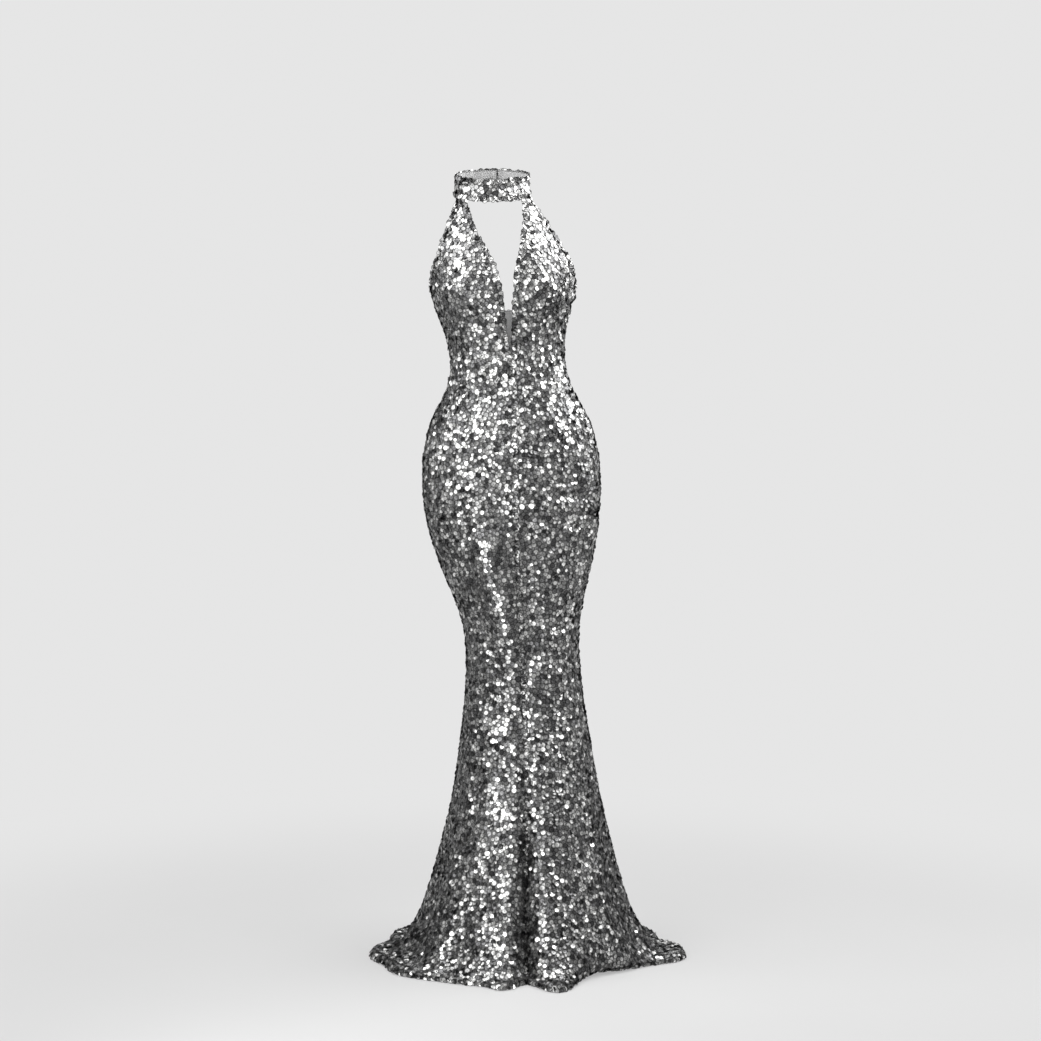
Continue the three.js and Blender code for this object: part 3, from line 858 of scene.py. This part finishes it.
def sequins_on(name, skin, free_lines, seam_lines, seed, bare=()):
    """The sequins all over a skin but for its bare places, along its free edges and over its
    seams, as one piece."""
    marked = skin.copy()
    free = tree_of([point for line in free_lines for point in line])
    gaps = np.array([free.find(corner.co)[2] for corner in marked.vertices])
    for middle, radius in bare:
        gaps[np.linalg.norm(corners_of(marked) - middle, axis=1) < radius] = 0
    from_edge = marked.attributes.new("from_edge", "FLOAT", "POINT")
    from_edge.data.foreach_set("value", gaps)
    stretched = marked.attributes.new("stretched", "FLOAT", "POINT")
    stretched.data.foreach_set("value", crease_heights(corners_of(marked), STRETCHED))
    parts = [made_by(ALL_OVER, marked, name, {**SEQUIN_SIZES, "Seed": seed})]
    for lines, sizes in ((free_lines, EDGE_ROW), (seam_lines, SEAM_ROW)):
        if lines:
            row = line_mesh("row", lines, 0, 0, "across", (1, 1, 1))
            parts.append(made_by(ALONG_EDGE, row, name, {**SEQUIN_SIZES, **sizes}))
    return placed(name, joined(name, parts))


for seed, node in enumerate(PANELS):
    shell = net_shell(node + "_net", skins[node])
    sequins = sequins_on(
        node + "_sequins", skins[node], free_edges[node], seams[node] + zipped_edges[node], seed
    )
    for piece in (shell, sequins):
        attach(piece, GOWN)
    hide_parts(node)

# Neck band
# A strip of the same sequinned net, sewn to the tops of the fronts. Its left end laps over the
# right at the nape, where two buttons close it.

ROUND_BUTTON = 0.0085

button_boxes = [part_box(node) for node in ("neck_button_upper", "neck_button_lower")]
band_round = [band_edge + band_edge[:1]]
bare = [((low + high) / 2, ROUND_BUTTON) for low, high in button_boxes]
band_net = net_shell("neck_band_net", band_skin)
band_sequins = sequins_on("neck_band_sequins", band_skin, band_round, [], BAND_SEED, bare)
for piece in (band_net, band_sequins):
    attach(piece, GOWN)
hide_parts("neck_band")

# Sewing
# Free edges are bound with a narrow roll of the net and held by a row of grey polyester stitches.
# Inside, each seam's allowances lie flat on the jersey and are overlocked.

BINDING = 0.0011
BINDING_IN = 0.7
BINDING_SIDES = 6
ALLOWANCE = (0.0005, 0.0075)
ALLOWANCE_TOP = -NET_WALL - 0.0001
ALLOWANCE_FOOT = -NET_WALL - 0.0008
STITCH_PITCH = 0.0030
STITCH_ROW = 0.0050
STITCH_WANDER = 0.16
STITCH_SEED = 17
THREAD = 0.00027
HEM_STITCH = (0.0011, THREAD, THREAD)
OVERLOCK = (0.0036, THREAD, THREAD)


def thread_material():
    """Grey spun polyester thread with its fine twist."""
    material, tree, shader = new_material("grey thread")
    at = object_place(tree)
    twist = add(
        tree,
        "ShaderNodeTexWave",
        {"Vector": at, "Scale": 2200, "Distortion": 0.6},
        bands_direction="DIAGONAL",
    )
    colour = ramp(tree, noise(tree, at, 300, 3), ((0.3, 0.16), (0.7, 0.3)))
    tree.links.new(colour, shader.inputs["Base Color"])
    given_relief(tree, shader, twist.outputs["Fac"], 0.5, 0.0001)
    shader.inputs["Roughness"].default_value = 0.6
    shader.inputs["Sheen Weight"].default_value = 0.2
    return material


THREAD_GREY = thread_material()


def stitch_tree():
    """Stitches along lines: a slim rounded one at each pitch, of the line's own size."""
    inputs = (("Pitch", "Float"), ("Floor", "Float"), ("Material", "Material"))
    tree, given = new_tree("stitches", inputs)
    points = points_along(tree, given["Geometry"], given["Pitch"])
    stitch = add(tree, "GeometryNodeMeshUVSphere", {"Segments": 5, "Rings": 4, "Radius": 1.0})
    rotation = lying(tree, read(tree, "out", "FLOAT_VECTOR"), read(tree, "lay", "FLOAT_VECTOR"))
    wander = random_vector(tree, (0, 0, -STITCH_WANDER), (0, 0, STITCH_WANDER), STITCH_SEED)
    sewn = add(
        tree,
        "GeometryNodeInstanceOnPoints",
        {
            "Points": points,
            "Instance": stitch.outputs["Mesh"],
            "Rotation": turned(tree, rotation, wander),
            "Scale": read(tree, "size", "FLOAT_VECTOR"),
        },
    )
    finished_tree(tree, sewn.outputs["Instances"], given["Floor"], given["Material"])
    return tree


STITCHES = stitch_tree()


def stitched(lines, inward, out, lay, size, pitch=STITCH_PITCH, material=THREAD_GREY):
    """A row of stitches beside each line."""
    settings = {"Pitch": pitch, "Floor": cad_box[0].z, "Material": material}
    return made_by(STITCHES, line_mesh("row", lines, inward, out, lay, size), "stitches", settings)


def swept(name, lines, section, material):
    """A closed strip or roll along each line: section gives its (inward, out) corners."""
    form = bmesh.new()
    for line in lines:
        rings = []
        for point in line:
            places = [point.at + point.inward * inward + point.out * out for inward, out in section]
            places = [Vector((place.x, place.y, max(place.z, cad_box[0].z))) for place in places]
            rings.append([form.verts.new(place) for place in places])
        for ring, following in zip(rings, rings[1:]):
            for n in range(len(section)):
                form.faces.new((ring[n - 1], ring[n], following[n], following[n - 1]))
        form.faces.new(rings[0])
        form.faces.new(reversed(rings[-1]))
    bmesh.ops.recalc_face_normals(form, faces=form.faces)
    for face in form.faces:
        face.smooth = len(section) > 4
    mesh = bpy.data.meshes.new(name)
    form.to_mesh(mesh)
    form.free()
    mesh.materials.append(material)
    return mesh


ROLL = []
for corner in range(BINDING_SIDES):
    turn = 2 * math.pi * corner / BINDING_SIDES
    ROLL.append((BINDING * (BINDING_IN + math.cos(turn)), -NET_WALL / 2 + BINDING * math.sin(turn)))
FLAP = (
    (ALLOWANCE[0], ALLOWANCE_TOP),
    (ALLOWANCE[1], ALLOWANCE_TOP),
    (ALLOWANCE[1], ALLOWANCE_FOOT),
    (ALLOWANCE[0], ALLOWANCE_FOOT),
)
MIDWAY = sum(ALLOWANCE) / 2


def sewing(name, free_lines, seam_lines):
    """The binding, overlocked allowances and stitches of one panel or of the band."""
    parts = [
        swept(name, free_lines, ROLL, NET),
        stitched(free_lines, STITCH_ROW, ALLOWANCE_TOP, "along", HEM_STITCH),
    ]
    if seam_lines:
        parts.append(swept(name, seam_lines, FLAP, JERSEY))
        parts.append(stitched(seam_lines, MIDWAY, ALLOWANCE_FOOT, "across", OVERLOCK))
        parts.append(stitched(seam_lines, ALLOWANCE[1], ALLOWANCE_FOOT, "along", HEM_STITCH))
    piece = placed(name, joined(name, parts))
    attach(piece, GOWN)


for node in PANELS:
    sewing(node + "_sewing", free_edges[node] + band_joins[node], seams[node])
sewing("neck_band_sewing", band_round, [])

# Buttons, slider and pull
# Small turned and pressed pieces of nickelled metal, finely scratched and faintly clouded all over.


def nickel_material():
    """Nickel plate: fine scratches, faint clouding and a slightly warm tone where the clouding is darker.
    """
    material, tree, shader = new_material("nickel")
    at = object_place(tree)
    along = add(tree, "ShaderNodeMapping", {"Vector": at, "Scale": (900, 900, 7000)})
    scratches = noise(tree, along.outputs[0], 1, 4)
    cloud = noise(tree, at, 350, 5)
    colour = ramp(tree, cloud, ((0.3, (0.55, 0.54, 0.52)), (0.7, (0.78, 0.78, 0.77))))
    tree.links.new(colour, shader.inputs["Base Color"])
    tree.links.new(mapped(tree, scratches, 0.3, 0.7, 0.14, 0.36), shader.inputs["Roughness"])
    given_relief(tree, shader, scratches, 0.2, 0.00005)
    shader.inputs["Metallic"].default_value = 1.0
    return material


NICKEL = nickel_material()
for node in ("neck_button_upper", "neck_button_lower", "zip_slider", "zip_pull"):
    metal_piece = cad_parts[node]
    metal_piece.data.materials.clear()
    metal_piece.data.materials.append(NICKEL)

# Zip tapes
# Two narrow woven tapes inside the backs, one each side of centre back, that carry the coil.


def tape_material():
    """A close grey twill of polyester."""
    material, tree, shader = new_material("woven zip tape")
    at = object_place(tree)
    yarns = []
    for direction in ("X", "Z"):
        feeds = {"Vector": at, "Scale": 420, "Distortion": 0.4}
        wave = add(tree, "ShaderNodeTexWave", feeds, bands_direction=direction)
        yarns.append(wave.outputs["Fac"])
    over = calculated(tree, "MAXIMUM", *yarns)
    mixed = calculated(tree, "MULTIPLY", over, noise(tree, at, 120, 4))
    tree.links.new(ramp(tree, mixed, ((0.1, 0.1), (0.6, 0.2))), shader.inputs["Base Color"])
    given_relief(tree, shader, over, 0.6, 0.0002)
    shader.inputs["Roughness"].default_value = 0.8
    return material


TAPE = tape_material()
for node in ("zip_tape_right", "zip_tape_left"):
    tape_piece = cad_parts[node]
    tape_piece.data.materials.clear()
    tape_piece.data.materials.append(TAPE)

# Zip coil
# Moulded polyester teeth along the tapes' inner edges, closed up to the slider, and the stitches
# that hold each tape to its back.

TOOTH_PITCH = 0.0015
TOOTH = (0.0019, 0.00052, 0.0006)
TOOTH_REACH = 0.0010
TEETH_FOUND = 0.0016
FROM_INSIDE = 0.012
ROW_NEAR = 0.0038
ROW_FAR = 0.0092
SLIDER_FOOT = -0.2585


def coil_material():
    """Moulded grey polyester with a soft gloss."""
    material, tree, shader = new_material("zip coil")
    cloud = noise(tree, object_place(tree), 500, 4)
    tree.links.new(ramp(tree, cloud, ((0.3, 0.1), (0.7, 0.2))), shader.inputs["Base Color"])
    tree.links.new(ramp(tree, cloud, ((0.3, 0.28), (0.7, 0.45))), shader.inputs["Roughness"])
    given_relief(tree, shader, cloud, 0.2, 0.0001)
    return material


COIL = coil_material()


def on_tape(node, line, inward):
    """The line moved inward and onto the tape's face that is turned to the wearer."""
    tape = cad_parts[node].data
    corners = [corner.co for corner in tape.vertices]
    surface = BVHTree.FromPolygons(corners, [face.vertices for face in tape.polygons])
    found = []
    for point in line:
        start = point.at + point.inward * inward - point.out * FROM_INSIDE
        place = surface.ray_cast(start, point.out)[0]
        if place is not None:
            found.append(EdgePoint(place, point.out, point.inward))
    return found


zip_parts = []
for node, side, along in (("right_back", "right", 0.0), ("left_back", "left", TOOTH_PITCH / 2)):
    tape = "zip_tape_" + side
    line = zipped_edges[node][0]
    for inward in (ROW_NEAR, ROW_FAR):
        held = on_tape(tape, line, inward)
        zip_parts.append(stitched([held], 0, -THREAD / 2, "along", HEM_STITCH))
    below = [point for point in on_tape(tape, line, TEETH_FOUND) if point.at.z < SLIDER_FOOT]
    below.sort(key=lambda point: point.at.z)
    shifted = [EdgePoint(p.at + Vector((0, 0, along)), p.out, p.inward) for p in below]
    inward = TOOTH_REACH - TEETH_FOUND
    zip_parts.append(
        stitched([shifted], inward, -TOOTH[2] / 2, "across", TOOTH, TOOTH_PITCH, COIL)
    )
coil = placed("zip_coil", joined("zip_coil", zip_parts))
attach(coil, GOWN)

# Buttonholes
# Two worked slots in the left end of the neck band, edged with close stitches, that the buttons
# come through.

SLOT_HALF = 0.0072
SLOT_RISE = 0.0012
SLOT_POINTS = 28
WORKED_STITCH = (0.0009, THREAD, THREAD)
WORKED_PITCH = 0.0007

band_surface = BVHTree.FromPolygons(
    [corner.co for corner in band_skin.vertices], [face.vertices for face in band_skin.polygons]
)
slots = []
for low, high in button_boxes:
    middle = (low + high) / 2
    ring = []
    for n in range(SLOT_POINTS + 1):
        turn = 2 * math.pi * n / SLOT_POINTS
        away = Vector((SLOT_HALF * math.cos(turn), 0, SLOT_RISE * math.sin(turn)))
        place, out = band_surface.find_nearest(Vector((middle.x, low.y, middle.z)) + away)[:2]
        ring.append(EdgePoint(place, out, -away.normalized()))
    slots.append(ring)
worked = stitched(slots, 0, THREAD, "across", WORKED_STITCH, WORKED_PITCH)
buttonholes = placed("neck_buttonholes", joined("neck_buttonholes", [worked]))
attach(buttonholes, GOWN)

# Stage
# A plain pale floor and pale room, with soft boxes above the gown on every side and smaller ones
# lower down in front of it and at its sides.

FLOOR_GAP = 0.0006
FLOOR_REACH = 60
FLOOR_COLOUR = 0.26
FLOOR_VARIES = 0.01
FADE = (0.7, 2.4)
ROOM_COLOUR = 0.79
# Pale walls as high as any view sees them, dark above, and a grey ceiling
WALLS = ((0.0, ROOM_COLOUR), (0.15, ROOM_COLOUR), (0.21, 0.08), (0.6, 0.1), (0.8, 0.45))


def floor_material():
    """Plain pale floor that fades into the room with distance, so that no edge shows."""
    material, tree, shader = new_material("pale floor")
    at = object_place(tree)
    darkest, lightest = FLOOR_COLOUR - FLOOR_VARIES, FLOOR_COLOUR + FLOOR_VARIES
    colour = ramp(tree, noise(tree, at, 1.5, 3), ((0.3, darkest), (0.7, lightest)))
    tree.links.new(colour, shader.inputs["Base Color"])
    shader.inputs["Roughness"].default_value = 0.8
    far_feeds = {"Value": length_of(tree, at), "From Min": FADE[0], "From Max": FADE[1]}
    far = add(tree, "ShaderNodeMapRange", far_feeds, interpolation_type="SMOOTHERSTEP")
    glow = add(tree, "ShaderNodeEmission", {"Color": (ROOM_COLOUR,) * 3 + (1,)})
    mixed = add(
        tree,
        "ShaderNodeMixShader",
        {0: far.outputs["Result"], 1: shader.outputs["BSDF"], 2: glow.outputs[0]},
    )
    output = next(node for node in tree.nodes if node.type == "OUTPUT_MATERIAL")
    tree.links.new(mixed.outputs[0], output.inputs["Surface"])
    return material


floor_form = bmesh.new()
bmesh.ops.create_grid(floor_form, x_segments=8, y_segments=8, size=FLOOR_REACH)
bmesh.ops.translate(floor_form, verts=floor_form.verts, vec=(0, 0, cad_box[0].z - FLOOR_GAP))
floor_mesh = bpy.data.meshes.new("floor")
floor_form.to_mesh(floor_mesh)
floor_form.free()
floor_mesh.materials.append(floor_material())
floor = placed("floor", floor_mesh)

room = bpy.data.worlds.new("room")
room.use_nodes = True
room_tree = room.node_tree
room_tree.nodes.clear()
way = add(room_tree, "ShaderNodeTexCoord").outputs["Generated"]
rise = add(room_tree, "ShaderNodeSeparateXYZ", {0: way}).outputs["Z"]
walls = ramp(room_tree, rise, WALLS)
pale = add(room_tree, "ShaderNodeBackground", {"Color": walls})
add(room_tree, "ShaderNodeOutputWorld", {"Surface": pale.outputs[0]})
bpy.context.scene.world = room

# Soft boxes: where each stands, what it points at, its size and its power
SoftBox = namedtuple("SoftBox", "name place target width height power")
SOFT_BOXES = (
    SoftBox("above_front", (0.0, -0.8, 1.2), (0.02, -0.1, -0.15), 2.0, 1.0, 8),
    SoftBox("above_left", (-0.85, -0.5, 0.4), (0.0, 0.0, -0.15), 1.9, 1.4, 58),
    SoftBox("above_right", (0.9, 0.0, 0.4), (0.05, 0.0, -0.15), 1.9, 1.4, 84),
    SoftBox("above_back", (-0.3, 2.4, 1.4), (0.05, 0.1, -0.5), 1.6, 1.0, 24),
    SoftBox("low_front", (-0.35, -1.1, -1.15), (0.0, -0.14, -0.7), 0.8, 0.7, 12),
    SoftBox("level_left", (-0.55, -1.1, -0.6), (0.0, -0.14, -0.68), 0.4, 0.3, 7),
    SoftBox("low_right", (1.3, -0.2, -1.05), (0.2, -0.1, -1.35), 0.8, 0.6, 3),
)
for box in SOFT_BOXES:
    lamp = bpy.data.lights.new(box.name, "AREA")
    lamp.shape = "RECTANGLE"
    lamp.size = box.width
    lamp.size_y = box.height
    lamp.energy = box.power
    stand = bpy.data.objects.new(box.name, lamp)
    stand.visible_camera = False
    stand.location = box.place
    aim = Vector(box.target) - Vector(box.place)
    stand.rotation_euler = aim.to_track_quat("-Z", "Y").to_euler()
    bpy.context.collection.objects.link(stand)
